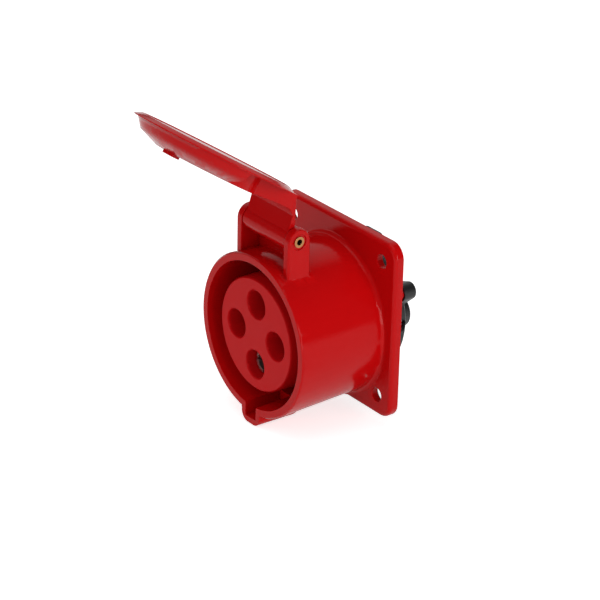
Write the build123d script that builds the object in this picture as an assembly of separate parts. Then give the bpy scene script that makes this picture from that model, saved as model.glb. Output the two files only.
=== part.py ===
from build123d import *
import math
import os

# Straight panel socket, 16 A, three phases and earth, with a sprung lid.
# Frame: +Z up, the mouth looks along -Y, +X is to the right seen from the front.
# The origin is the centre of the flange's back face, which seats on the panel.
# Sizes are in millimetres.

# Flange and its fixing holes
flange_side = 70.0
flange_corner = 6.0
flange_thick = 4.0
flange_edge_round = 1.6
fixing_inset = 8.0
fixing_hole_dia = 5.5

# Panel gasket, let into the back of the flange
gasket_thick = 1.2
gasket_margin = 2.8
gasket_fit = 0.2
window_strip = 1.5
fixing_strip = 0.8

# Barrel, on an axis below the middle of the flange
axis_drop = 3.5
barrel_length = 42.0
mouth_radius = 31.7
root_radius = 30.3
root_round = 2.0
mouth_chamfer = 0.6
bore_mouth_radius = 28.5
bore_floor_radius = 27.3
floor_front = 7.0
floor_thick = 3.0

# Keyway at six o'clock
key_slot_width = 6.4
key_slot_depth = 5.2
key_wall = 2.4
key_length = 16.0
key_run_out = 6.0
key_corner = 3.8

# Contact insert and its collar
insert_radius = 22.0
insert_recess = 1.8
insert_fit = 0.3
insert_chamfer = 0.6
collar_radius = 24.5
collar_fit = 0.3
contact_circle_radius = 12.1
entry_dia = 10.6
entry_chamfer = 0.6

# Contact sleeves and terminal blocks
phase_pin_dia = 5.0
earth_pin_dia = 7.0
sleeve_wall = 1.2
phase_sleeve_recess = 8.0
earth_sleeve_recess = 4.0
sleeve_bore_depth = 18.0
sleeve_slit = 0.8
sleeve_slit_length = 14.0
ring_thick = 0.5
ring_width = 5.0
ring_setback = 2.0
terminal_side = 8.0
terminal_front = 2.0
terminal_length = 13.0
terminal_fit = 0.2
wire_hole_dia = 4.2
wire_hole_stop = 2.0
clamp_screw_dia = 3.8
clamp_screw_length = 8.0
clamp_screw_engaged = 2.4
clamp_screw_back = 9.5
clamp_slot_width = 0.8
clamp_slot_depth = 1.2

# Rear terminal body
body_depth = 12.0
body_chamfer = 1.0
tower_radius = 6.4
tower_depth = 18.0
wire_entry_dia = 5.2
screw_access_dia = 4.6
lug_angles = (30.0, 150.0)
lug_radius = 3.3
lug_root_radius = 4.8
lug_thick = 3.5
post_length = 8.0
post_radius = 2.6
tab_width = 12.0
tab_reach = 29.5
tab_overlap = 3.0
tab_thick = 6.0
tab_corner = 2.5
rib_width = 8.0
rib_thick = 2.4

# Screws of the terminal body
body_screw_dia = 2.8
body_screw_length = 11.0
body_screw_hole_spare = 1.0
body_head_dia = 4.6
body_head_height = 1.8
body_head_chamfer = 0.4
body_slot_width = 0.8
body_slot_depth = 0.9
body_hole_fit = 0.3
body_head_fit = 0.25

# Hinge
pin_inset = 9.0
pin_height = 37.5
ear_inside = 13.0
ear_thick = 3.0
ear_radius = 4.9
ear_edge_chamfer = 0.5
ear_sink_radius = 3.0
ear_sink_depth = 0.5
pin_radius = 1.6
pin_bore_radius = 1.1
pin_head_radius = 2.1
pin_head_thick = 0.5
pin_ear_fit = 0.02
pin_knuckle_fit = 0.06
knuckle_radius = 4.6
knuckle_side_gap = 0.3
web_thick = 1.6
web_height = 3.2

# Lid, described closed: "drop" is measured down from the pin, "out" forwards from it
lid_rest_angle = 122.6
lid_radius = 31.2
lid_height = 7.5
lid_plate_thick = 1.6
lid_bevel_width = 2.4
lid_bevel_height = 1.2
skirt_radius = 26.8
skirt_height = 2.2
skirt_top_inset = 1.6
skirt_cut = 5.0
pad_radius = 19.4
pad_sink = 0.5
mouth_gap = 0.3
lug_gap = 0.3
lid_gasket_radius = 18.2
lid_gasket_thick = 2.0
arm_half_width = 15.6
arm_root = 10.4
arm_step = 18.5
neck_thick = 3.4
neck_foot_drop = 2.9
neck_foot_in = 3.55
neck_knee_drop = 5.7
neck_knee_back = 1.6
neck_top_drop = 8.6
nose_inside = 15.2
nose_outside = 18.6
nose_width = 6.0

# Joined shapes run into each other by this much
bite = 1.0

axis_z = -axis_drop
mouth_y = -barrel_length
insert_y = mouth_y + insert_recess
back_y = -gasket_thick
floor_back_y = -(floor_front - floor_thick)
fixing_spacing = flange_side - 2 * fixing_inset
pocket_side = flange_side - 2 * gasket_margin
sheet_side = pocket_side - 2 * gasket_fit
panel_cutout_radius = sheet_side / 2 - window_strip
gasket_hole_radius = fixing_inset - gasket_margin - gasket_fit - fixing_strip
lug_circle_radius = panel_cutout_radius - lug_radius
body_radius = lug_circle_radius - lug_radius
pin_back = barrel_length - pin_inset
pin_y = -pin_back
ear_outside = ear_inside + ear_thick
ear_hole_radius = pin_radius + pin_ear_fit
knuckle_hole_radius = pin_radius + pin_knuckle_fit
lid_drop = pin_height + axis_drop
mouth_out = pin_inset
lid_seat_out = mouth_out + mouth_gap
pad_out = mouth_out - pad_sink
lid_out = mouth_out + lid_height
skirt_out = mouth_out + skirt_height
plate_out = lid_out - lid_plate_thick
nose_out = mouth_out - insert_recess + lug_gap
contact_places = {"l1": 180.0, "l2": 90.0, "l3": 0.0, "earth": 270.0}


def turned(points):
    """Revolve a closed (radius, y) outline about the barrel axis."""
    face = make_face(Polyline(*points, close=True))
    return Pos(0, 0, axis_z) * revolve(face, Axis.Y, 360)


def rod(radius, y_start, y_end, x=0.0, z=0.0):
    """A round bar along Y between two depths."""
    face = Plane(origin=(x, y_start, z), z_dir=(0, 1, 0)) * Circle(radius)
    return extrude(face, y_end - y_start)


def cross_bar(radius, x_start, x_end, y, z):
    """A round bar along X."""
    face = Plane(origin=(x_start, y, z), z_dir=(1, 0, 0)) * Circle(radius)
    return extrude(face, x_end - x_start)


def block(x_range, y_range, z_range):
    """A box between pairs of limits."""
    size = [high - low for low, high in (x_range, y_range, z_range)]
    return Pos(x_range[0], y_range[0], z_range[0]) * Box(
        *size, align=(Align.MIN, Align.MIN, Align.MIN))


def rounded_plate(side, corner, y_start, y_end):
    """A square plate with rounded corners, facing along Y."""
    face = Plane(origin=(0, y_start, 0), z_dir=(0, 1, 0)) * RectangleRounded(side, side, corner)
    return extrude(face, y_end - y_start)


def on_circle(radius, angle):
    """x and z on a circle round the barrel axis, angle 0 at three o'clock."""
    turn = math.radians(angle)
    return radius * math.cos(turn), axis_z + radius * math.sin(turn)


def place(drop, out):
    """y and z of a point of the closed lid, from its drop and its reach outwards."""
    return pin_y - out, pin_height - drop


def side_profile(outline, half_width):
    """Extrude an outline of (y, z) points across the lid's width."""
    wire = Polyline(*[(0, y, z) for y, z in outline], close=True)
    return extrude(make_face(wire), half_width, dir=(1, 0, 0), both=True)


def fixing_places():
    half = fixing_spacing / 2
    return [(x, z) for x in (-half, half) for z in (-half, half)]


def flange():
    plate = rounded_plate(flange_side, flange_corner, -flange_thick, 0)
    front = plate.faces().sort_by(Axis.Y)[0]
    plate = fillet(front.edges(), flange_edge_round)
    return plate - rounded_plate(pocket_side, flange_corner - gasket_margin, back_y, 0)


def barrel():
    """Tapered barrel with a rounded root, drawn as one outline and revolved."""
    corner = root_round * (1 - math.cos(math.radians(45)))
    return turned([
        (0, back_y), (root_radius + root_round, back_y),
        (root_radius + root_round, -flange_thick),
        (root_radius + corner, -flange_thick - corner),
        (root_radius, -flange_thick - root_round),
        (mouth_radius, mouth_y + mouth_chamfer),
        (mouth_radius - mouth_chamfer, mouth_y), (0, mouth_y)])


def keyway_rib():
    """Outer rib over the keyway, which runs out into the barrel."""
    half = key_slot_width / 2 + key_wall
    low = axis_z - bore_mouth_radius - key_slot_depth - key_wall
    slope_start = mouth_y + key_length
    slope_end = slope_start + key_run_out
    rib = block((-half, half), (mouth_y, slope_end), (low, axis_z - bore_mouth_radius))
    rib = fillet(rib.edges().filter_by(Axis.Y).sort_by(Axis.Z)[:2], key_corner)
    cutter = make_face(Polyline((0, slope_start, low), (0, slope_end, low),
                                (0, slope_end, low + key_run_out), close=True))
    return rib - extrude(cutter, half, dir=(1, 0, 0), both=True)


def ears():
    """Two ears that hold the hinge pin, with a low web between them."""
    pair = None
    front = pin_y - ear_radius
    back = pin_y + ear_radius
    for side in (-1, 1):
        inner = side * ear_inside
        outer = side * ear_outside
        x_range = sorted((inner, outer))
        ear = block(x_range, (front, back), (0, pin_height))
        ear += cross_bar(ear_radius, *x_range, pin_y, pin_height)
        face = ear.faces().sort_by(Axis.X)[-1 if side > 0 else 0]
        rim = [e for e in face.edges() if e.center().Z > axis_z + mouth_radius / 2]
        ear = chamfer(rim, ear_edge_chamfer)
        sink = sorted((outer - side * ear_sink_depth, outer))
        ear -= cross_bar(ear_sink_radius, *sink, pin_y, pin_height)
        pair = ear if pair is None else pair + ear
    top = axis_z + mouth_radius + web_height
    return pair + block((-ear_inside, ear_inside), (back - web_thick, back), (0, top))


def hollow():
    """The socket's bore, its floor opening and the seat for the insert's collar."""
    bore = turned([(0, mouth_y), (bore_mouth_radius, mouth_y), (bore_floor_radius, -floor_front),
                   (0, -floor_front)])
    opening = turned([(0, -floor_front), (insert_radius + insert_fit, -floor_front),
                      (insert_radius + insert_fit, floor_back_y), (0, floor_back_y)])
    seat_radius = collar_radius + collar_fit
    seat = turned([(0, floor_back_y), (seat_radius, floor_back_y), (seat_radius, 0), (0, 0)])
    return bore + opening + seat


def keyway_slot():
    half = key_slot_width / 2
    low = axis_z - bore_mouth_radius - key_slot_depth
    return block((-half, half), (mouth_y, mouth_y + key_length),
                 (low, axis_z - bore_floor_radius))


def posts():
    """Screw posts and the locating rib on the back of the flange."""
    low = axis_z + collar_radius + collar_fit
    group = block((-rib_width / 2, rib_width / 2), (back_y - bite, post_length),
                  (low, low + rib_thick))
    for angle in lug_angles:
        x, z = on_circle(lug_circle_radius, angle)
        group += rod(post_radius, back_y - bite, post_length, x, z)
    return group


def screw_tip_y():
    return post_length + lug_thick - body_screw_length


def housing():
    body = flange() + barrel() + keyway_rib() + ears()
    body = body - hollow() - keyway_slot()
    body += posts()
    for angle in lug_angles:
        x, z = on_circle(lug_circle_radius, angle)
        body -= rod(body_screw_dia / 2, screw_tip_y() - body_screw_hole_spare, post_length, x, z)
    for x, z in fixing_places():
        body -= rod(fixing_hole_dia / 2, -flange_thick, 0, x, z)
    return body - cross_bar(ear_hole_radius, -ear_outside, ear_outside, pin_y, pin_height)


def panel_gasket():
    corner = flange_corner - gasket_margin - gasket_fit
    sheet = rounded_plate(sheet_side, corner, back_y, 0)
    sheet -= rod(panel_cutout_radius, back_y, 0)
    for x, z in fixing_places():
        sheet -= rod(gasket_hole_radius, back_y, 0, x, z)
    return sheet


def contact_insert():
    """Round body with a chamfered face, four entries and a collar behind the floor."""
    body = turned([
        (0, insert_y), (insert_radius - insert_chamfer, insert_y),
        (insert_radius, insert_y + insert_chamfer), (insert_radius, floor_back_y),
        (collar_radius, floor_back_y), (collar_radius, back_y), (0, back_y)])
    for angle in contact_places.values():
        x, z = on_circle(contact_circle_radius, angle)
        body -= rod(entry_dia / 2, insert_y, back_y, x, z)
    face = body.faces().sort_by(Axis.Y)[0]
    mouths = [wire.edges() for wire in face.inner_wires()]
    return chamfer([edge for edges in mouths for edge in edges], entry_chamfer)


def pin_dia(name):
    return earth_pin_dia if name == "earth" else phase_pin_dia


def sleeve_start(name):
    recess = earth_sleeve_recess if name == "earth" else phase_sleeve_recess
    return insert_y + recess


def terminal_frame(angle):
    """Carry a shape made at three o'clock on the barrel axis round to its place."""
    return Pos(0, 0, axis_z) * Rot(0, -angle, 0)


def contact(name):
    """Slit socket sleeve and clamp block, in one piece of brass."""
    bore = pin_dia(name) / 2
    outer = bore + sleeve_wall
    start = sleeve_start(name)
    slit_end = start + sleeve_slit_length
    x = contact_circle_radius
    half = terminal_side / 2
    slit = sleeve_slit / 2
    end = terminal_front + terminal_length
    body = rod(outer, start, back_y, x)
    body += block((x - half, x + half), (back_y, end), (-half, half))
    body -= rod(bore, start, start + sleeve_bore_depth, x)
    body -= block((x - outer, x + outer), (start, slit_end), (-slit, slit))
    body -= block((x - slit, x + slit), (start, slit_end), (-outer, outer))
    body -= rod(wire_hole_dia / 2, terminal_front + wire_hole_stop, end, x)
    body -= cross_bar(clamp_screw_dia / 2, x, x + half, clamp_screw_back, 0)
    return terminal_frame(contact_places[name]) * body


def spring_ring(name):
    """Steel ring that closes the slit sleeve on the pin."""
    inner = pin_dia(name) / 2 + sleeve_wall
    start = sleeve_start(name) + ring_setback
    x = contact_circle_radius
    ring = rod(inner + ring_thick, start, start + ring_width, x)
    ring -= rod(inner, start, start + ring_width, x)
    return terminal_frame(contact_places[name]) * ring


def clamp_screw(name):
    """Slotted grub screw that holds the wire in its block."""
    radius = clamp_screw_dia / 2
    start = contact_circle_radius + terminal_side / 2 - clamp_screw_engaged
    end = start + clamp_screw_length
    screw = cross_bar(radius, start, end, clamp_screw_back, 0)
    screw -= block((end - clamp_slot_depth, end),
                   (clamp_screw_back - radius, clamp_screw_back + radius),
                   (-clamp_slot_width / 2, clamp_slot_width / 2))
    return terminal_frame(contact_places[name]) * screw


def terminal_room():
    """What is cut from the terminal body for one clamp block, its screw and its wire."""
    x = contact_circle_radius
    half = terminal_side / 2 + terminal_fit
    room = block((x - half, x + half),
                 (back_y, terminal_front + terminal_length + terminal_fit), (-half, half))
    room += rod(wire_entry_dia / 2, back_y, tower_depth, x)
    room += cross_bar(screw_access_dia / 2, x, body_radius, clamp_screw_back, 0)
    return room


def terminal_body():
    """Disc with four wire towers, two screw lugs and the tab over the locating rib."""
    body = rod(body_radius, back_y, body_depth, 0, axis_z)
    body = chamfer(body.edges().filter_by(GeomType.CIRCLE).sort_by(Axis.Y)[-1], body_chamfer)
    head_end = post_length + lug_thick + body_head_height
    for angle in lug_angles:
        x, z = on_circle(lug_circle_radius, angle)
        inner_x, inner_z = on_circle(body_radius - lug_root_radius, angle)
        outline = make_hull((Pos(x, z) * Circle(lug_radius)).edges() +
                            (Pos(inner_x, inner_z) * Circle(lug_root_radius)).edges())
        body += extrude(Plane.XZ.offset(-post_length) * outline, post_length - head_end)
    tab_low = axis_z + body_radius - tab_overlap
    tab = block((-tab_width / 2, tab_width / 2), (post_length, post_length + tab_thick),
                (tab_low, axis_z + tab_reach))
    body += fillet(tab.edges().filter_by(Axis.Y).sort_by(Axis.Z)[2:], tab_corner)
    for angle in contact_places.values():
        x, z = on_circle(contact_circle_radius, angle)
        body += rod(tower_radius, body_depth - bite, tower_depth, x, z)
    for angle in contact_places.values():
        body -= terminal_frame(angle) * terminal_room()
    for angle in lug_angles:
        x, z = on_circle(lug_circle_radius, angle)
        seat = post_length + lug_thick
        body -= rod(body_screw_dia / 2 + body_hole_fit, post_length, seat, x, z)
        body -= rod(body_head_dia / 2 + body_head_fit, seat, head_end, x, z)
    return body


def body_screws():
    """Cheese-head screws that pull the terminal body onto the posts."""
    group = []
    seat = post_length + lug_thick
    end = seat + body_head_height
    for angle in lug_angles:
        x, z = on_circle(lug_circle_radius, angle)
        head = rod(body_head_dia / 2, seat, end, x, z)
        head = chamfer(head.edges().filter_by(GeomType.CIRCLE).sort_by(Axis.Y)[-1],
                       body_head_chamfer)
        head -= block((x - body_head_dia, x + body_head_dia), (end - body_slot_depth, end),
                      (z - body_slot_width / 2, z + body_slot_width / 2))
        group.append(head + rod(body_screw_dia / 2, screw_tip_y(), seat, x, z))
    return Compound(children=group)


def hinge_pin():
    """Tubular rivet through both ears, flared at each end into the ears' sinks."""
    seat = ear_outside - ear_sink_depth
    end = seat + pin_head_thick
    pin = cross_bar(pin_radius, -seat, seat, pin_y, pin_height)
    pin += cross_bar(pin_head_radius, -end, -seat, pin_y, pin_height)
    pin += cross_bar(pin_head_radius, seat, end, pin_y, pin_height)
    return pin - cross_bar(pin_bore_radius, -end, end, pin_y, pin_height)


def lid_disc():
    """Bevelled plate and tapered skirt of the lid, cut away on both sides of the arm."""
    top_radius = lid_radius - skirt_top_inset
    plate = turned([
        (0, pin_y - plate_out), (lid_radius, pin_y - plate_out),
        (lid_radius, pin_y - lid_out + lid_bevel_height),
        (lid_radius - lid_bevel_width, pin_y - lid_out), (0, pin_y - lid_out)])
    skirt = turned([
        (0, pin_y - pad_out), (pad_radius, pin_y - pad_out), (skirt_radius, pin_y - skirt_out),
        (top_radius, pin_y - plate_out), (0, pin_y - plate_out)])
    boss = rod(pad_radius, pin_y - plate_out, pin_y - pad_out, 0, axis_z)
    for side in (-1, 1):
        x_range = sorted((side * arm_half_width, side * lid_radius))
        skirt -= block(x_range, (pin_y - plate_out, pin_y - pad_out),
                       (axis_z - skirt_cut, axis_z + lid_radius)) - boss
    return plate + skirt


def lid_arm():
    """Arm over the top of the mouth, and the neck that runs down from it to the knuckle."""
    under = lid_drop - pad_radius / 2
    arm = side_profile(
        [place(arm_root, lid_seat_out), place(arm_step, lid_seat_out), place(under, pad_out),
         place(lid_drop, pad_out), place(lid_drop, plate_out), place(arm_root, plate_out)],
        arm_half_width)
    knee_out = mouth_out - neck_knee_back
    neck = side_profile(
        [place(0, 0), place(neck_foot_drop, -neck_foot_in), place(neck_knee_drop, knee_out),
         place(neck_top_drop, lid_seat_out), place(arm_root + bite, lid_seat_out),
         place(arm_root + bite, plate_out), place(neck_top_drop, plate_out),
         place(neck_knee_drop - neck_thick, knee_out - neck_thick)],
        ear_inside - knuckle_side_gap)
    half = ear_inside - knuckle_side_gap
    return arm + neck + cross_bar(knuckle_radius, -half, half, pin_y, pin_height)


def lid_nose():
    """Nose inside the lid that catches a plug's collar."""
    inside = lid_drop + nose_inside
    outside = lid_drop + nose_outside
    return side_profile([place(inside, plate_out), place(inside, nose_out),
                         place(outside, nose_out), place(outside, plate_out)], nose_width / 2)


def gasket_disc(fit):
    """The lid's rubber disc, notched round the nose; fit makes its recess larger."""
    radius = lid_gasket_radius + fit
    disc = rod(radius, pin_y - pad_out - lid_gasket_thick, pin_y - pad_out, 0, axis_z)
    half = nose_width / 2 + gasket_fit - fit
    top = axis_z - nose_inside + gasket_fit - fit
    return disc - block((-half, half), (pin_y - lid_out, pin_y), (axis_z - lid_radius, top))


def lid_closed():
    lid = lid_disc() + lid_arm() - gasket_disc(gasket_fit) + lid_nose()
    return lid - cross_bar(knuckle_hole_radius, -ear_inside, ear_inside, pin_y, pin_height)


def opened(shape):
    """Swing a shape of the closed lid up about the pin to the rest pose."""
    hinge = Axis((0, pin_y, pin_height), (1, 0, 0))
    return shape.rotate(hinge, -lid_rest_angle)


parts = {
    "housing": housing(),
    "panel_gasket": panel_gasket(),
    "contact_insert": contact_insert(),
    "terminal_body": terminal_body(),
    "body_screws": body_screws(),
    "hinge_pin": hinge_pin(),
    "lid": opened(lid_closed()),
    "lid_gasket": opened(gasket_disc(0)),
}
for contact_name in contact_places:
    parts["contact_" + contact_name] = contact(contact_name)
    parts["spring_ring_" + contact_name] = spring_ring(contact_name)
    parts["clamp_screw_" + contact_name] = clamp_screw(contact_name)

os.makedirs("parts", exist_ok=True)
for node, solid in parts.items():
    export_step(solid, f"parts/{node}.step")
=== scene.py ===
"""Looks of an industrial panel socket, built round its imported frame.

Lengths are in metres, in the frame of the part: +Z up, the mouth looks along -Y,
and the origin is the centre of the back of the flange.
"""

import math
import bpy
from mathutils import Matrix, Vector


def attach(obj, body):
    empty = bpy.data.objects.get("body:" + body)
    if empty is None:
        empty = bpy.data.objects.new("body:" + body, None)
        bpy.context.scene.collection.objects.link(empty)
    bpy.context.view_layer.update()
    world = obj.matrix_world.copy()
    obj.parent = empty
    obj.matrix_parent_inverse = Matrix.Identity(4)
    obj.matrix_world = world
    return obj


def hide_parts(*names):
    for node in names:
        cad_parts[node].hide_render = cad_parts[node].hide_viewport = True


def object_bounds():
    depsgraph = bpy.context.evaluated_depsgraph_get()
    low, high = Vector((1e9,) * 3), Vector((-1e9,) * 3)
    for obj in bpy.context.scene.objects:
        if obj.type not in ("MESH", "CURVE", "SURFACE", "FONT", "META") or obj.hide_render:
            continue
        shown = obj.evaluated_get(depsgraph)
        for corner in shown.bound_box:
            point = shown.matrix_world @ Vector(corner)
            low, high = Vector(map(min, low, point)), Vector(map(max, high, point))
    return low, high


bl_info = {
    "name": "Panel socket",
    "version": (1, 0, 0),
    "blender": (4, 5, 0),
    "location": "View3D > Sidebar > Panel socket",
    "description": "Moulded, rubber and metal finishes of a round panel socket with its lid open",
    "category": "Add Mesh",
}

import bmesh
import bpy
from bpy.props import FloatProperty, FloatVectorProperty, IntProperty, PointerProperty
from mathutils import Matrix, Vector

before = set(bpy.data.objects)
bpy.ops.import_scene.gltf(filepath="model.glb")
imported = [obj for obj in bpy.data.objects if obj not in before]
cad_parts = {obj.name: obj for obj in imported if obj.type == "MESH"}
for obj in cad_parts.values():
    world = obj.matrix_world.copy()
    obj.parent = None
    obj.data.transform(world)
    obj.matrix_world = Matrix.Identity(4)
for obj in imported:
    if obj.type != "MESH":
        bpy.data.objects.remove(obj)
CAD_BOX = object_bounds()

MM = 0.001
CONTACTS = ("l1", "l2", "l3", "earth")
SOCKET_BODY = "socket"
LID_BODY = "lid"

# The camera that took the picture, fitted to the flange, its holes and the mouth
CAMERA_AZIMUTH = math.radians(52.89)
CAMERA_ELEVATION = math.radians(24.78)
CAMERA_ROLL = math.radians(1.41)
CAMERA_DISTANCE = 0.917
CAMERA_ASIDE = 0.01604
CAMERA_ABOVE = -0.00024
CAMERA_LENS = 146.6
CAMERA_SENSOR = 36.0
CAMERA_CLIP = 0.05

# Light of the studio, where 1 is white
WHITE = (1.0, 1.0, 1.0, 1.0)
ROOM_GLOW = 0.32
FRONT_GLOW = 0.74
WALL_GLOW = 0.025
WINDOW_GLOW = 0.8
FLOOR_GLOW = 0.66
FLOOR_SHEEN = 0.35
FLOOR_ROUGHNESS = 0.9

# Values of a direction's X, Y or Z between which the room brightens to the front
# and the edges of the window fade in
FRONT_FADE = (0.0, -1.0)
WINDOW_LEFT = (-0.10, -0.34)
WINDOW_BEHIND = (-0.30, 0.10)
WINDOW_ABOVE = (0.02, 0.25)

# Square lamps in metres and watts, aimed at the origin
LAMP_TARGET = (0.0, 0.0, 0.0)
OVERHEAD_PLACE = (0.0, -0.1, 1.1)
OVERHEAD_WIDTH = 1.0
OVERHEAD_POWER = 2.6
SIDE_PLACE = (0.97, 0.05, 0.20)
SIDE_WIDTH = 0.5
SIDE_POWER = 4.2

# Strength of the plastics' reflections, where 0.5 is plain clear plastic
MOULDED_SHINE = 0.12
INSERT_SHINE = 0.07
PLAIN_SHINE = 0.4

# Most of a noise lies between these values
NOISE_RANGE = (0.3, 0.7)

# Weight of the fine speckle beside the slow change of tone
SPECKLE_SHARE = 0.35

# Tone, ridges and scratches of the metals, and how far scratches change their roughness
METAL_TONE = 0.25
METAL_TONE_SCALE = 220.0
RIDGE_SHARE = 0.4
SCRATCH_SCALE = 1500.0
SCRATCH_SMOOTHER = 0.08
SCRATCH_ROUGHER = 0.10

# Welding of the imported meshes; faces closer to flat than the angle are joined
WELD_DISTANCE = 0.002 * MM
TINY_EDGE = 0.001 * MM
FLAT_ANGLE = math.radians(0.3)


def colour_property(name, description, default):
    return FloatVectorProperty(name=name, description=description, default=default,
                               subtype="COLOR", size=3, min=0.0, max=1.0)


def length_property(name, description, default):
    return FloatProperty(name=name, description=description, default=default,
                         min=0.0, unit="LENGTH", precision=5)


def angle_property(name, description, degrees):
    return FloatProperty(name=name, description=description, default=math.radians(degrees),
                         min=0.0, subtype="ANGLE")


class PanelSocketColours(bpy.types.PropertyGroup):
    """Colours of the socket's mouldings, rubber and metals."""

    moulding: colour_property("Moulding", "Red of the housing and the lid", (0.50, 0.0022, 0.0030))
    insert: colour_property("Insert", "Red of the contact insert", (0.54, 0.0040, 0.0060))
    terminal: colour_property("Terminal body", "Black of the rear moulding", (0.012, 0.012, 0.013))
    rubber: colour_property("Rubber", "Dark grey of both gaskets", (0.020, 0.020, 0.020))
    brass: colour_property("Brass", "Brass of the hinge pin", (0.46, 0.22, 0.09))
    nickel: colour_property("Nickel", "Dull plating of the contacts", (0.60, 0.58, 0.54))
    zinc: colour_property("Zinc", "Plating of the screws", (0.62, 0.63, 0.66))
    spring: colour_property("Spring steel", "Steel of the sleeves' rings", (0.42, 0.42, 0.44))
    floor: colour_property("Floor", "Pale floor under the socket", (0.92, 0.92, 0.92))


class PanelSocketSizes(bpy.types.PropertyGroup):
    """Sizes of the finishes and of the stage."""

    moulded_edge: length_property("Moulded edge", "Rounding of housing and rear body", 0.25 * MM)
    lid_edge: length_property("Lid edge", "Rounding of the lid's thinner edges", 0.15 * MM)
    insert_edge: length_property("Insert edge", "Rounding of the insert's edges", 0.20 * MM)
    fine_edge: length_property("Fine edge", "Rounding of metal and rubber edges", 0.08 * MM)
    lid_rim_width: length_property("Lid rim width", "Rim round the lid's outer face", 0.5 * MM)
    lid_rim_height: length_property("Lid rim height", "Depth of the face inside the rim", 0.35 * MM)
    floor_size: length_property("Floor size", "Side of the square floor", 6.0)
    floor_gap: length_property("Floor gap", "Room under the lowest point", 0.5 * MM)
    sharp_angle: angle_property("Sharp angle", "Edges sharper than this stay crisp", 32.0)
    corner_angle: angle_property("Corner angle", "Edges sharper than this are rounded", 50.0)
    round_steps: IntProperty(name="Round steps", description="Segments on a rounded edge",
                             default=2, min=1, max=6)


def colours():
    return bpy.context.scene.panel_socket_colours


def sizes():
    return bpy.context.scene.panel_socket_sizes


# Node groups


def feed(tree, value, socket):
    """Set a socket to a number, or link it to the output that gives its value."""
    if isinstance(value, (int, float)):
        socket.default_value = value
    else:
        tree.links.new(value, socket)


def maths(tree, operation, *values):
    """The result of a Math node on numbers or outputs."""
    node = tree.nodes.new("ShaderNodeMath")
    node.operation = operation
    for value, socket in zip(values, node.inputs):
        feed(tree, value, socket)
    return node.outputs[0]


def remap(tree, value, low, high, new_low, new_high):
    """Carry a value from one range to another, held at the ends."""
    node = tree.nodes.new("ShaderNodeMapRange")
    tree.links.new(value, node.inputs["Value"])
    ends = {"From Min": low, "From Max": high, "To Min": new_low, "To Max": new_high}
    for label, number in ends.items():
        node.inputs[label].default_value = number
    return node.outputs["Result"]


def noise_node(tree, position, scale, detail, roughness=0.5):
    """A noise texture on a position; scale is a number or an output."""
    noise = tree.nodes.new("ShaderNodeTexNoise")
    noise.inputs["Detail"].default_value = detail
    noise.inputs["Roughness"].default_value = roughness
    tree.links.new(position, noise.inputs["Vector"])
    feed(tree, scale, noise.inputs["Scale"])
    return noise.outputs["Fac"]


def new_group(name, inputs, outputs):
    """A shader node group with its sockets, and its input and output nodes."""
    group = bpy.data.node_groups.new(name, "ShaderNodeTree")
    for label, kind, default in inputs:
        socket = group.interface.new_socket(name=label, in_out="INPUT", socket_type=kind)
        socket.default_value = default
    for label, kind in outputs:
        group.interface.new_socket(name=label, in_out="OUTPUT", socket_type=kind)
    source = group.nodes.new("NodeGroupInput")
    sink = group.nodes.new("NodeGroupOutput")
    return group, source.outputs, sink.inputs


def tone_group():
    """Slow change of tone, as a moulding's flow gives, and fine speckle."""
    group, given, result = new_group(
        "moulding_tone",
        [("Position", "NodeSocketVector", (0, 0, 0)), ("Colour", "NodeSocketColor", WHITE),
         ("Amount", "NodeSocketFloat", 0.1), ("Flow Scale", "NodeSocketFloat", 40.0),
         ("Speckle Scale", "NodeSocketFloat", 900.0)],
        [("Colour", "NodeSocketColor"), ("Flow", "NodeSocketFloat")])
    flow = noise_node(group, given["Position"], given["Flow Scale"], detail=3.0)
    speckle = noise_node(group, given["Position"], given["Speckle Scale"], detail=2.0)
    mixed = maths(group, "MULTIPLY_ADD", speckle, SPECKLE_SHARE, flow)
    centred = maths(group, "SUBTRACT", mixed, (1.0 + SPECKLE_SHARE) / 2)
    swing = maths(group, "MULTIPLY", centred, given["Amount"])
    factor = maths(group, "ADD", swing, 1.0)
    tint = group.nodes.new("ShaderNodeVectorMath")
    tint.operation = "SCALE"
    group.links.new(given["Colour"], tint.inputs[0])
    group.links.new(factor, tint.inputs["Scale"])
    group.links.new(tint.outputs[0], result["Colour"])
    group.links.new(flow, result["Flow"])
    return group


def grain_group():
    """Height of a fine moulded grain over a slow unevenness."""
    group, given, result = new_group(
        "surface_grain",
        [("Position", "NodeSocketVector", (0, 0, 0)), ("Grain Scale", "NodeSocketFloat", 2500.0),
         ("Wave Scale", "NodeSocketFloat", 90.0), ("Wave Share", "NodeSocketFloat", 0.5)],
        [("Height", "NodeSocketFloat")])
    grain = noise_node(group, given["Position"], given["Grain Scale"], detail=3.0, roughness=0.6)
    wave = noise_node(group, given["Position"], given["Wave Scale"], detail=1.0)
    height = maths(group, "MULTIPLY_ADD", wave, given["Wave Share"], grain)
    group.links.new(height, result["Height"])
    return group


def turning_group():
    """Fine ridges square to X, as turning leaves on the hinge pin, with scratches."""
    group, given, result = new_group(
        "turning_rings",
        [("Position", "NodeSocketVector", (0, 0, 0)), ("Pitch", "NodeSocketFloat", 0.2 * MM)],
        [("Height", "NodeSocketFloat"), ("Mask", "NodeSocketFloat")])
    split = group.nodes.new("ShaderNodeSeparateXYZ")
    group.links.new(given["Position"], split.inputs[0])
    turns = maths(group, "DIVIDE", split.outputs["X"], given["Pitch"])
    ridge = maths(group, "SINE", maths(group, "MULTIPLY", turns, 2 * math.pi))
    scratch = noise_node(group, given["Position"], SCRATCH_SCALE, detail=4.0, roughness=0.7)
    height = maths(group, "MULTIPLY_ADD", ridge, RIDGE_SHARE, scratch)
    group.links.new(height, result["Height"])
    group.links.new(scratch, result["Mask"])
    return group


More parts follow.
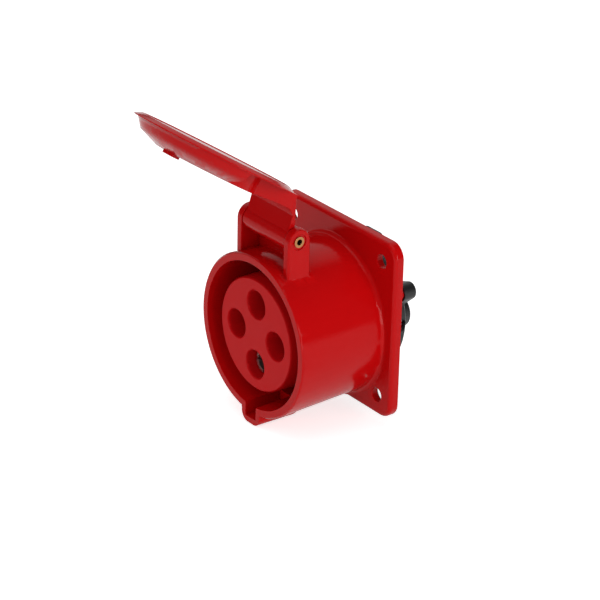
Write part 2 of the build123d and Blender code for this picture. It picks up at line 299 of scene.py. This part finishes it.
def place_group(tree, name, builder, position, values):
    """Put a group, built once, into a material with its own values."""
    node = tree.nodes.new("ShaderNodeGroup")
    node.node_tree = bpy.data.node_groups.get(name) or builder()
    tree.links.new(position, node.inputs["Position"])
    for label, value in values.items():
        node.inputs[label].default_value = value
    return node.outputs


# Materials


def new_material(name):
    """A material, its node tree and its Principled shader."""
    material = bpy.data.materials.new(name)
    material.use_nodes = True
    tree = material.node_tree
    shader = next(node for node in tree.nodes if node.type == "BSDF_PRINCIPLED")
    return material, tree, shader


def object_position(tree):
    return tree.nodes.new("ShaderNodeTexCoord").outputs["Object"]


def add_bump(tree, shader, height, distance):
    bump = tree.nodes.new("ShaderNodeBump")
    bump.inputs["Distance"].default_value = distance
    tree.links.new(height, bump.inputs["Height"])
    tree.links.new(bump.outputs["Normal"], shader.inputs["Normal"])


def moulded_material(name, colour, shine, roughness, variation, grain_scale, wave_scale,
                     wave_share, height, tone=0.10, tone_scale=35.0):
    """Injection-moulded plastic or rubber, with the grain and slow unevenness of its tool."""
    material, tree, shader = new_material(name)
    position = object_position(tree)
    shader.inputs["Specular IOR Level"].default_value = shine
    toned = place_group(tree, "moulding_tone", tone_group, position,
                        {"Colour": (*colour, 1.0), "Amount": tone, "Flow Scale": tone_scale})
    tree.links.new(toned["Colour"], shader.inputs["Base Color"])
    gloss = remap(tree, toned["Flow"], *NOISE_RANGE, roughness - variation, roughness + variation)
    tree.links.new(gloss, shader.inputs["Roughness"])
    relief = place_group(tree, "surface_grain", grain_group, position,
                         {"Grain Scale": grain_scale, "Wave Scale": wave_scale,
                          "Wave Share": wave_share})
    add_bump(tree, shader, relief["Height"], height)
    return material


def metal_material(name, colour, roughness, pitch, height):
    """Turned or drawn metal with fine ridges and scratches."""
    material, tree, shader = new_material(name)
    position = object_position(tree)
    shader.inputs["Metallic"].default_value = 1.0
    toned = place_group(tree, "moulding_tone", tone_group, position,
                        {"Colour": (*colour, 1.0), "Amount": METAL_TONE,
                         "Flow Scale": METAL_TONE_SCALE})
    tree.links.new(toned["Colour"], shader.inputs["Base Color"])
    rings = place_group(tree, "turning_rings", turning_group, position, {"Pitch": pitch})
    gloss = remap(tree, rings["Mask"], *NOISE_RANGE,
                  roughness - SCRATCH_SMOOTHER, roughness + SCRATCH_ROUGHER)
    tree.links.new(gloss, shader.inputs["Roughness"])
    add_bump(tree, shader, rings["Height"], height)
    return material


def build_materials():
    """Every finish of the socket, by its name."""
    tints = colours()
    plastics = {
        "red_moulding": dict(colour=tints.moulding, shine=MOULDED_SHINE, roughness=0.16,
                             variation=0.03, grain_scale=1400.0, wave_scale=60.0, wave_share=4.0,
                             height=0.012 * MM),
        "red_insert": dict(colour=tints.insert, shine=INSERT_SHINE, roughness=0.34,
                           variation=0.04, grain_scale=2600.0, wave_scale=120.0, wave_share=1.0,
                           height=0.020 * MM),
        "black_moulding": dict(colour=tints.terminal, shine=PLAIN_SHINE, roughness=0.42,
                               variation=0.06, grain_scale=2200.0, wave_scale=150.0,
                               wave_share=1.0, height=0.030 * MM, tone=0.3),
        "black_rubber": dict(colour=tints.rubber, shine=PLAIN_SHINE, roughness=0.72,
                             variation=0.06, grain_scale=3200.0, wave_scale=300.0,
                             wave_share=0.5, height=0.050 * MM, tone=0.4),
    }
    metals = {
        "brass": dict(colour=tints.brass, roughness=0.24, pitch=0.18 * MM, height=0.006 * MM),
        "nickel": dict(colour=tints.nickel, roughness=0.34, pitch=0.18 * MM, height=0.006 * MM),
        "zinc_steel": dict(colour=tints.zinc, roughness=0.34, pitch=0.25 * MM,
                           height=0.008 * MM),
        "spring_steel": dict(colour=tints.spring, roughness=0.28, pitch=0.12 * MM,
                             height=0.005 * MM),
    }
    made = {name: moulded_material(name, **values) for name, values in plastics.items()}
    made.update({name: metal_material(name, **values) for name, values in metals.items()})
    return made


MATERIALS = {}


def dress(piece, finish):
    """Give a piece one finish all over."""
    if not MATERIALS:
        MATERIALS.update(build_materials())
    piece.data.materials.clear()
    piece.data.materials.append(MATERIALS[finish])


# Pieces


def link(mesh, name):
    piece = bpy.data.objects.new(name, mesh)
    bpy.context.scene.collection.objects.link(piece)
    return piece


def merged_form(node):
    """A bmesh of a node's mesh, welded, with its flat faces joined again."""
    form = bmesh.new()
    form.from_mesh(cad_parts[node].data)
    bmesh.ops.remove_doubles(form, verts=form.verts, dist=WELD_DISTANCE)
    bmesh.ops.dissolve_degenerate(form, edges=form.edges, dist=TINY_EDGE)
    bmesh.ops.dissolve_limit(form, angle_limit=FLAT_ANGLE, verts=form.verts, edges=form.edges)
    form.normal_update()
    return form


def round_corners(form, radius):
    """Round the outer edges of a welded form."""
    corners = [edge for edge in form.edges if len(edge.link_faces) == 2 and edge.is_convex
               and edge.calc_face_angle() > sizes().corner_angle]
    bmesh.ops.bevel(form, geom=corners, offset=radius, offset_type="OFFSET", affect="EDGES",
                    segments=sizes().round_steps, profile=0.5, clamp_overlap=False, material=-1)


def sink_outer_face(form):
    """Sink the lid's flat outer face inside a narrow raised rim."""
    outer = max(form.faces, key=lambda face: face.calc_area())
    inwards = -outer.normal * sizes().lid_rim_height
    bmesh.ops.inset_region(form, faces=[outer], thickness=sizes().lid_rim_width,
                           use_even_offset=True)
    bmesh.ops.inset_region(form, faces=[outer], thickness=sizes().lid_rim_height / 2,
                           use_even_offset=True)
    bmesh.ops.translate(form, verts=outer.verts, vec=inwards)
    form.normal_update()


def finished_mesh(form, name):
    """Turn a form into a linked object with smooth faces and crisp edges."""
    mesh = bpy.data.meshes.new(name)
    form.to_mesh(mesh)
    form.free()
    for face in mesh.polygons:
        face.use_smooth = True
    mesh.set_sharp_from_angle(angle=sizes().sharp_angle)
    piece = link(mesh, name)
    even = piece.modifiers.new("even_shading", "WEIGHTED_NORMAL")
    even.keep_sharp = True
    return piece


def finish_piece(piece, body, slot, node, finish=None):
    """Give a new piece its finish and its body, and hide the node that it stands for."""
    dress(piece, finish or slot)
    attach(piece, body)
    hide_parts(node)


def finish_node(node, body, slot, radius, finish=None):
    """Replace a node by a copy with rounded edges and its finish."""
    form = merged_form(node)
    round_corners(form, radius)
    piece = finished_mesh(form, node + "_finished")
    finish_piece(piece, body, slot, node, finish)


class PANELSOCKET_OT_housing(bpy.types.Operator):
    """Flange, barrel, keyway and hinge ears in one glossy red moulding"""

    bl_idname = "panel_socket.housing"
    bl_label = "Housing"

    def execute(self, context):
        finish_node("housing", SOCKET_BODY, "red_moulding", sizes().moulded_edge)
        return {"FINISHED"}


class PANELSOCKET_OT_lid(bpy.types.Operator):
    """Round lid with its arm and knuckle, and the rubber disc in it"""

    bl_idname = "panel_socket.lid"
    bl_label = "Lid"

    def execute(self, context):
        form = merged_form("lid")
        sink_outer_face(form)
        round_corners(form, sizes().lid_edge)
        finish_piece(finished_mesh(form, "lid_finished"), LID_BODY, "red_moulding", "lid")
        finish_node("lid_gasket", LID_BODY, "black_rubber", sizes().fine_edge)
        return {"FINISHED"}


class PANELSOCKET_OT_insert(bpy.types.Operator):
    """Contact insert with its four entries"""

    bl_idname = "panel_socket.insert"
    bl_label = "Contact insert"

    def execute(self, context):
        finish_node("contact_insert", SOCKET_BODY, "red_insert", sizes().insert_edge)
        return {"FINISHED"}


class PANELSOCKET_OT_contacts(bpy.types.Operator):
    """Contact sleeves with their clamp blocks, spring rings and clamp screws"""

    bl_idname = "panel_socket.contacts"
    bl_label = "Contacts"

    def execute(self, context):
        edge = sizes().fine_edge
        for name in CONTACTS:
            finish_node("contact_" + name, SOCKET_BODY, "brass", edge, "nickel")
            finish_node("spring_ring_" + name, SOCKET_BODY, "spring_steel", edge)
            finish_node("clamp_screw_" + name, SOCKET_BODY, "zinc_steel", edge)
        return {"FINISHED"}


class PANELSOCKET_OT_rear(bpy.types.Operator):
    """Black terminal body, its screws and the panel gasket"""

    bl_idname = "panel_socket.rear"
    bl_label = "Rear body"

    def execute(self, context):
        finish_node("terminal_body", SOCKET_BODY, "black_moulding", sizes().moulded_edge)
        finish_node("body_screws", SOCKET_BODY, "zinc_steel", sizes().fine_edge)
        finish_node("panel_gasket", SOCKET_BODY, "black_rubber", sizes().fine_edge)
        return {"FINISHED"}


class PANELSOCKET_OT_hinge_pin(bpy.types.Operator):
    """Tubular brass rivet through the ears"""

    bl_idname = "panel_socket.hinge_pin"
    bl_label = "Hinge pin"

    def execute(self, context):
        finish_node("hinge_pin", SOCKET_BODY, "brass", sizes().fine_edge)
        return {"FINISHED"}


# Stage


def camera_axes():
    """Right, up and backwards directions of the camera."""
    back = Vector((math.sin(CAMERA_AZIMUTH) * math.cos(CAMERA_ELEVATION),
                   -math.cos(CAMERA_AZIMUTH) * math.cos(CAMERA_ELEVATION),
                   math.sin(CAMERA_ELEVATION)))
    level = Vector((math.cos(CAMERA_AZIMUTH), math.sin(CAMERA_AZIMUTH), 0.0))
    rise = back.cross(level)
    right = level * math.cos(CAMERA_ROLL) + rise * math.sin(CAMERA_ROLL)
    up = rise * math.cos(CAMERA_ROLL) - level * math.sin(CAMERA_ROLL)
    return right, up, back


def add_camera():
    right, up, back = camera_axes()
    place = back * CAMERA_DISTANCE - right * CAMERA_ASIDE - up * CAMERA_ABOVE
    data = bpy.data.cameras.new("view")
    data.lens = CAMERA_LENS
    data.sensor_width = CAMERA_SENSOR
    data.sensor_fit = "HORIZONTAL"
    data.clip_start = CAMERA_CLIP
    camera = bpy.data.objects.new("view", data)
    turn = Matrix((right, up, back)).transposed().to_4x4()
    camera.matrix_world = Matrix.Translation(place) @ turn
    bpy.context.scene.collection.objects.link(camera)
    bpy.context.scene.camera = camera


def add_lamp(name, place, width, power):
    """A square lamp that shines on the origin."""
    data = bpy.data.lights.new(name, "AREA")
    data.shape = "SQUARE"
    data.size = width
    data.energy = power
    lamp = bpy.data.objects.new(name, data)
    aim = Vector(LAMP_TARGET) - Vector(place)
    turn = aim.to_track_quat("-Z", "Y").to_matrix().to_4x4()
    lamp.matrix_world = Matrix.Translation(place) @ turn
    bpy.context.scene.collection.objects.link(lamp)


def background_rays(tree):
    """Masks of the rays of the camera, and of those of gloss and glass."""
    path = tree.nodes.new("ShaderNodeLightPath")
    mirrored = maths(tree, "MAXIMUM", path.outputs["Is Glossy Ray"],
                     path.outputs["Is Transmission Ray"])
    return path.outputs["Is Camera Ray"], mirrored


def window_glare(tree, across, along, up):
    """What gloss sees: a dark room with one wide window behind, above and to the left."""
    left = remap(tree, across, *WINDOW_LEFT, 0.0, 1.0)
    behind = remap(tree, along, *WINDOW_BEHIND, 0.0, 1.0)
    above = remap(tree, up, *WINDOW_ABOVE, 0.0, 1.0)
    window = maths(tree, "MULTIPLY", maths(tree, "MULTIPLY", left, behind), above)
    return remap(tree, window, 0.0, 1.0, WALL_GLOW, WINDOW_GLOW)


def build_world():
    """White to the camera; to diffuse light a soft room, brighter in front; and to gloss
    a dark room with one window, as the picture's reflections show."""
    world = bpy.data.worlds.new("studio")
    world.use_nodes = True
    tree = world.node_tree
    tree.nodes.clear()
    output = tree.nodes.new("ShaderNodeOutputWorld")
    camera, mirrored = background_rays(tree)
    direction = tree.nodes.new("ShaderNodeTexCoord")
    split = tree.nodes.new("ShaderNodeSeparateXYZ")
    tree.links.new(direction.outputs["Generated"], split.inputs[0])
    across, along, up = split.outputs
    gloss = maths(tree, "MULTIPLY", window_glare(tree, across, along, up), mirrored)
    soft = remap(tree, along, *FRONT_FADE, ROOM_GLOW, ROOM_GLOW + FRONT_GLOW)
    diffuse = maths(tree, "MULTIPLY", maths(tree, "SUBTRACT", 1.0, mirrored), soft)
    room = maths(tree, "ADD", gloss, diffuse)
    glow = tree.nodes.new("ShaderNodeBackground")
    glow.inputs["Color"].default_value = WHITE
    tree.links.new(maths(tree, "MAXIMUM", room, camera), glow.inputs["Strength"])
    tree.links.new(glow.outputs[0], output.inputs["Surface"])
    bpy.context.scene.world = world


def floor_material():
    """Pale floor that looks white to the camera, pale to gloss, and keeps a soft shadow."""
    material, tree, shader = new_material("floor")
    shader.inputs["Base Color"].default_value = (*colours().floor, 1.0)
    shader.inputs["Roughness"].default_value = FLOOR_ROUGHNESS
    output = next(node for node in tree.nodes if node.type == "OUTPUT_MATERIAL")
    camera, mirrored = background_rays(tree)
    seen = maths(tree, "MULTIPLY", camera, FLOOR_GLOW)
    sheen = maths(tree, "MULTIPLY", mirrored, FLOOR_SHEEN)
    glow = tree.nodes.new("ShaderNodeEmission")
    tree.links.new(maths(tree, "MAXIMUM", seen, sheen), glow.inputs["Strength"])
    both = tree.nodes.new("ShaderNodeAddShader")
    tree.links.new(shader.outputs[0], both.inputs[0])
    tree.links.new(glow.outputs[0], both.inputs[1])
    tree.links.new(both.outputs[0], output.inputs["Surface"])
    return material


def add_floor():
    lowest = CAD_BOX[0][2]
    form = bmesh.new()
    bmesh.ops.create_grid(form, x_segments=1, y_segments=1, size=sizes().floor_size / 2)
    bmesh.ops.translate(form, verts=form.verts, vec=(0, 0, lowest - sizes().floor_gap))
    mesh = bpy.data.meshes.new("floor")
    form.to_mesh(mesh)
    form.free()
    mesh.materials.append(floor_material())
    link(mesh, "floor")


class PANELSOCKET_OT_stage(bpy.types.Operator):
    """Pale floor, soft light and the camera of the picture"""

    bl_idname = "panel_socket.stage"
    bl_label = "Stage"

    def execute(self, context):
        add_floor()
        build_world()
        add_lamp("overhead", OVERHEAD_PLACE, OVERHEAD_WIDTH, OVERHEAD_POWER)
        add_lamp("side", SIDE_PLACE, SIDE_WIDTH, SIDE_POWER)
        add_camera()
        context.scene.view_settings.view_transform = "Standard"
        return {"FINISHED"}


OPERATORS = (
    PANELSOCKET_OT_stage,
    PANELSOCKET_OT_housing,
    PANELSOCKET_OT_insert,
    PANELSOCKET_OT_contacts,
    PANELSOCKET_OT_rear,
    PANELSOCKET_OT_hinge_pin,
    PANELSOCKET_OT_lid,
)


class PANELSOCKET_PT_sidebar(bpy.types.Panel):
    """Lists the socket's pieces, sizes and colours"""

    bl_idname = "PANELSOCKET_PT_sidebar"
    bl_label = "Panel socket"
    bl_space_type = "VIEW_3D"
    bl_region_type = "UI"
    bl_category = "Panel socket"

    def draw(self, context):
        layout = self.layout
        for operator in OPERATORS:
            layout.operator(operator.bl_idname)
        for group in (sizes(), colours()):
            for key in group.bl_rna.properties.keys():
                if key not in ("rna_type", "name"):
                    layout.prop(group, key)


CLASSES = (PanelSocketColours, PanelSocketSizes, *OPERATORS, PANELSOCKET_PT_sidebar)


def register():
    for cls in CLASSES:
        bpy.utils.register_class(cls)
    bpy.types.Scene.panel_socket_colours = PointerProperty(type=PanelSocketColours)
    bpy.types.Scene.panel_socket_sizes = PointerProperty(type=PanelSocketSizes)


def unregister():
    del bpy.types.Scene.panel_socket_sizes
    del bpy.types.Scene.panel_socket_colours
    for cls in reversed(CLASSES):
        bpy.utils.unregister_class(cls)


def main():
    register()
    bpy.ops.panel_socket.stage()
    bpy.ops.panel_socket.housing()
    bpy.ops.panel_socket.insert()
    bpy.ops.panel_socket.contacts()
    bpy.ops.panel_socket.rear()
    bpy.ops.panel_socket.hinge_pin()
    bpy.ops.panel_socket.lid()


if __name__ == "__main__":
    main()
